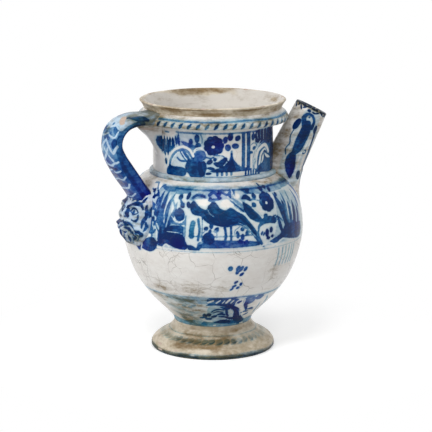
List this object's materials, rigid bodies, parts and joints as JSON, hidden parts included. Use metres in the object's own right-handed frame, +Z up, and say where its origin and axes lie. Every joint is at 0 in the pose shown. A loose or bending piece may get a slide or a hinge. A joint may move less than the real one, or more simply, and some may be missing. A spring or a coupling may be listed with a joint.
{
  "type": "jug",
  "caption": "Footed drug jar of painted tin-glazed earthenware with a wide flanged neck, a strap handle over a moulded mask, and an oblique pouring spout.",
  "frame": {"origin": "centre of the foot's base, midway between the handle's and the spout's reach", "axes": "+Z up along the jar's axis, +X towards the spout, the handle near -X"},
  "size_m": [0.181, 0.1426, 0.2],
  "materials": {
    "painted_glaze": "gloss",
    "worn_glaze": "satin",
    "blue_glaze": "gloss"
  },
  "bodies": {
    "root": {"foot": "worn_glaze", "body": "painted_glaze", "neck": "painted_glaze", "neck_cordon": "painted_glaze", "collar": "painted_glaze", "rope_edge": "painted_glaze", "rim": "worn_glaze", "spout": "painted_glaze", "spout_luting": "painted_glaze", "handle": "blue_glaze", "handle_luting": "painted_glaze", "mask": "blue_glaze"}
  },
  "joints": []
}
